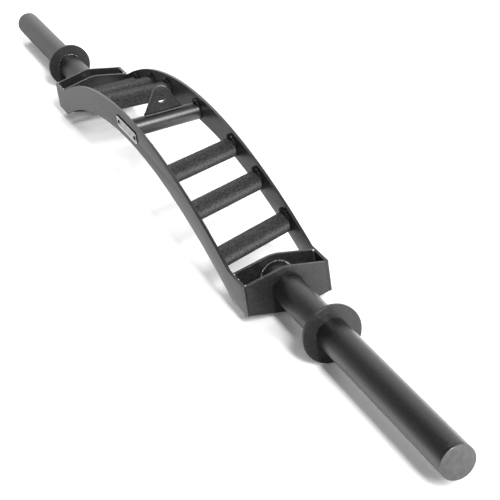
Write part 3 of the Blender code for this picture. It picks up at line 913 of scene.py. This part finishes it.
def ring_weld(name, word, at_low_end, material):
    """A bead round a sleeve, against the face at one end of the frame's bead."""
    side = SIDES[word]
    start, end = span_along(f"{name}_{word}", side)
    leg = end - start
    x = side * (start + BEAD_SHIFT * leg if at_low_end else end - BEAD_SHIFT * leg)
    out = sleeve_radius + BEAD_SHIFT * leg
    turn = [math.tau * i / RING_POINTS for i in range(RING_POINTS)]
    points = [(x, out * math.cos(t), axis_height + out * math.sin(t)) for t in turn]
    weld(f"{name}_{word}", points, [BEAD_FILL * leg] * RING_POINTS, True, material)


def straight_weld(name, start, end, size, material):
    """A bead from one point to another, with thin ends."""
    start, end = Vector(start), Vector(end)
    way = (end - start).normalized() * size
    points = [start, start + way * TIP_SIZE, start + way, end - way, end - way * TIP_SIZE, end]
    sizes = [size * TIP_SIZE, size * SHOULDER_SIZE, size, size, size * SHOULDER_SIZE, size * TIP_SIZE]
    weld(name, points, sizes, False, material)


print("a puddle is", PUDDLE / MM, "mm long, and a ring has", RING_POINTS, "points")

# %% [markdown]
# Three beads go round each sleeve: on the outer face of either cross plate, and on the inner face of the
# collar. The one on the outer cross plate was smoothed over, so it is no more than a dark line.

# %% Welds round the sleeves
# Shiny paint over ripples: short bright glints on dark grey.
weld_coat = two_tone("Powder-coated weld bead", "#1c1c1d", "#2c2c2d", 0.22, patch=3.0, grain=0.9, mirror=1.0)
# Thick paint that fills a seam: dull and black.
seam_coat = two_tone("Powder-coated seam", "#060606", "#0c0c0c", 0.50, mirror=0.3)

for word in SIDES:
    ring_weld("inner_plate_weld", word, True, weld_coat)
    ring_weld("outer_plate_weld", word, True, seam_coat)
    ring_weld("collar_weld", word, False, weld_coat)

# %% [markdown]
# Upright beads hold the cross plates between the rails, and one runs along each side of the lug's foot.
# All are straight lines, so two points and a size are enough, and the ends taper off as a real bead's do.

# %% Welds of the plates
BOX_FILL = 0.5
RAILS = {"front": -1, "back": 1}

# Paint over a ground-down bead: a duller line in the dark corner. It is greyer than the frame as a painted
# highlight, for the light that the corner catches.
corner_coat = two_tone("Powder-coated corner weld", "#262627", "#343435", 0.45, patch=3.0, grain=0.9)

rail_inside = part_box("back_rail")[0].y
for word, side in SIDES.items():
    for depth in ("inner", "outer"):
        for rail, across in RAILS.items():
            name = f"box_weld_{word}_{depth}_{rail}"
            low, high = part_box(name)
            leg = high.x - low.x
            start, end = span_along(name, side)
            x = side * (start + BEAD_SHIFT * leg if depth == "inner" else end - BEAD_SHIFT * leg)
            y = across * (rail_inside - BEAD_SHIFT * leg)
            straight_weld(name, (x, y, low.z), (x, y, high.z), BOX_FILL * leg, corner_coat)
    low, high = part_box(f"lug_weld_{word}")
    middle = (low + high) / 2
    ends = [(middle.x, y, middle.z) for y in (low.y, high.y)]
    # The lug's beads take the edge coat, a painted highlight along the lug's foot.
    straight_weld(f"lug_weld_{word}", *ends, (high.x - low.x) / 2, edge_highlight_coat)

# %% [markdown]
# Where a slanted tube meets a rail, the bead follows an ellipse, so each point of a circle round the tube
# is slid along the tube's line until it reaches the rail. The welder piled more metal on top than below,
# and most at the back rail.

# %% Welds of the tubes
TUBE_LEG_ABOVE = {"front": 4.0 * MM, "back": 8.0 * MM}
TUBE_LEG_BELOW = 0.8 * MM
PILE_POWER = 5
TUBE_PUDDLE = 5.5 * MM
TUBE_RIPPLE = 0.45

# Thick paint over coarse ripples: dull, and the darkest of the welds but for the seams. Its near-black is
# partly painted shade, which deepens the dark round each grip's end.
joint_coat = two_tone(
    "Powder-coated tube weld", "#080808", "#161616", 0.40, patch=3.0, grain=1.2, mirror=0.3
)

tubes = {f"grip_weld_{key}": line for key, line in grips.items()}
bar_front = Vector((bar_centre[0], -rail_inside, bar_centre[2]))
bar_back = Vector((bar_centre[0], rail_inside, bar_centre[2]))
tubes["centre_bar_weld"] = (bar_front, bar_back, bar_radius)
for name, (front, back, radius) in tubes.items():
    axis = (back - front).normalized()
    level, up = square_to(axis)
    for rail, across in RAILS.items():
        points, sizes = [], []
        for i in range(RING_POINTS):
            turn = math.tau * i / RING_POINTS
            height = (1 + math.sin(turn)) / 2
            leg = TUBE_LEG_BELOW + (TUBE_LEG_ABOVE[rail] - TUBE_LEG_BELOW) * height**PILE_POWER
            outwards = level * math.cos(turn) + up * math.sin(turn)
            point = front + outwards * (radius + BEAD_SHIFT * leg)
            face = across * (rail_inside - BEAD_SHIFT * leg)
            points.append(point + axis * ((face - point.y) / axis.y))
            sizes.append(BEAD_FILL * leg)
        weld(f"{name}_{rail}", points, sizes, True, joint_coat, puddle=TUBE_PUDDLE, relief=TUBE_RIPPLE)

# %% [markdown]
# Welding throws a few drops of metal, and some stick beside the beads. Here they are small balls on the
# rails' level ends, above the corners of the cross plates. A tree sets a ball on each point of a mesh. Each
# drop is written as its distance outwards from the inner cross plate, how far it lies over the rail, and
# its radius, all in millimetres.

# %% Spatter
DROP_LIFT = 1.2 * MM
FRONT_DROPS = ((1.2, 0.2, 1.1), (20.0, 0.6, 0.9), (44.5, -0.6, 1.1))
BACK_DROPS = ((1.0, -0.5, 1.6),)

# Pale grey drops, a painted glint: each shows as a bright pinhead.
spatter_glint = two_tone("Bare steel, weld spatter", "#c0c0c0", "#d8d8d8", 0.40)

spatter_tree, given = geometry_tree(
    "Spatter", {"Places": "NodeSocketGeometry", "Material": "NodeSocketMaterial"}
)
tree = spatter_tree
drops = add_node(tree, "GeometryNodeMeshToPoints", {"Mesh": given["Places"]})
ball = add_node(tree, "GeometryNodeMeshIcoSphere", {"Radius": 1.0, "Subdivisions": 3})
size = add_node(tree, "GeometryNodeInputNamedAttribute", {"Name": "size"}, data_type="FLOAT")
balls = add_node(tree, "GeometryNodeInstanceOnPoints", {"Points": drops, "Instance": ball, "Scale": size})
output_mesh(tree, balls, given["Material"])

inner_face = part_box("inner_plate_weld_right")[0].x
drop_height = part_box("box_weld_right_outer_front")[1].z + DROP_LIFT
places, sizes = [], []
for side in SIDES.values():
    for across, row_of_drops in ((-1, FRONT_DROPS), (1, BACK_DROPS)):
        for outward, over_rail, size in row_of_drops:
            x = side * (inner_face + outward * MM)
            places.append((x, across * (rail_inside + over_rail * MM), drop_height))
            sizes.append(size * MM)
spatter = grown("rippled_spatter", spatter_tree, {"Material": spatter_glint}, places, sizes)
spatter.data.shade_smooth()

# %% [markdown]
# Each rivet's head is a low dome. A flattened ball is the shortest way to one: half of it stands out from
# the plate's face, and the other half hides behind it, as the shank does.

# %% Rivets
HEAD_RADIUS = 3.6 * MM
HEAD_HEIGHT = 1.6 * MM
HEAD_SEGMENTS = 32
HEAD_RINGS = 16

# Blackened steel is dull and deep black, so each head reads as a dot on the bright plate.
black_rivet = two_tone("Blackened steel rivet", "#020202", "#040404", 0.70, mirror=0.1)

plate_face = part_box("name_plate")[0].y
for word in SIDES:
    low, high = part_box(f"name_plate_rivet_{word}")
    bm = bmesh.new()
    bmesh.ops.create_uvsphere(bm, u_segments=HEAD_SEGMENTS, v_segments=HEAD_RINGS, radius=HEAD_RADIUS)
    bmesh.ops.scale(bm, verts=bm.verts, vec=(1.0, HEAD_HEIGHT / HEAD_RADIUS, 1.0))
    middle = Vector(((low.x + high.x) / 2, plate_face, (low.z + high.z) / 2))
    bmesh.ops.translate(bm, verts=bm.verts, vec=middle)
    head = finish_mesh(f"domed_rivet_{word}", bm, black_rivet)
    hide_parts(f"name_plate_rivet_{word}")

# %% [markdown]
# The bar has no moving parts, so every piece made here rides on its one body.

# %% Finish
MADE_HERE = ("turned_", "knurled_", "coated_", "rippled_", "stamped_", "domed_")

for obj in bpy.context.scene.objects:
    if obj.type == "MESH" and obj.name.startswith(MADE_HERE):
        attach(obj, "root")
low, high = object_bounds()
print("dressed bar", [round(v, 4) for v in low], [round(v, 4) for v in high])
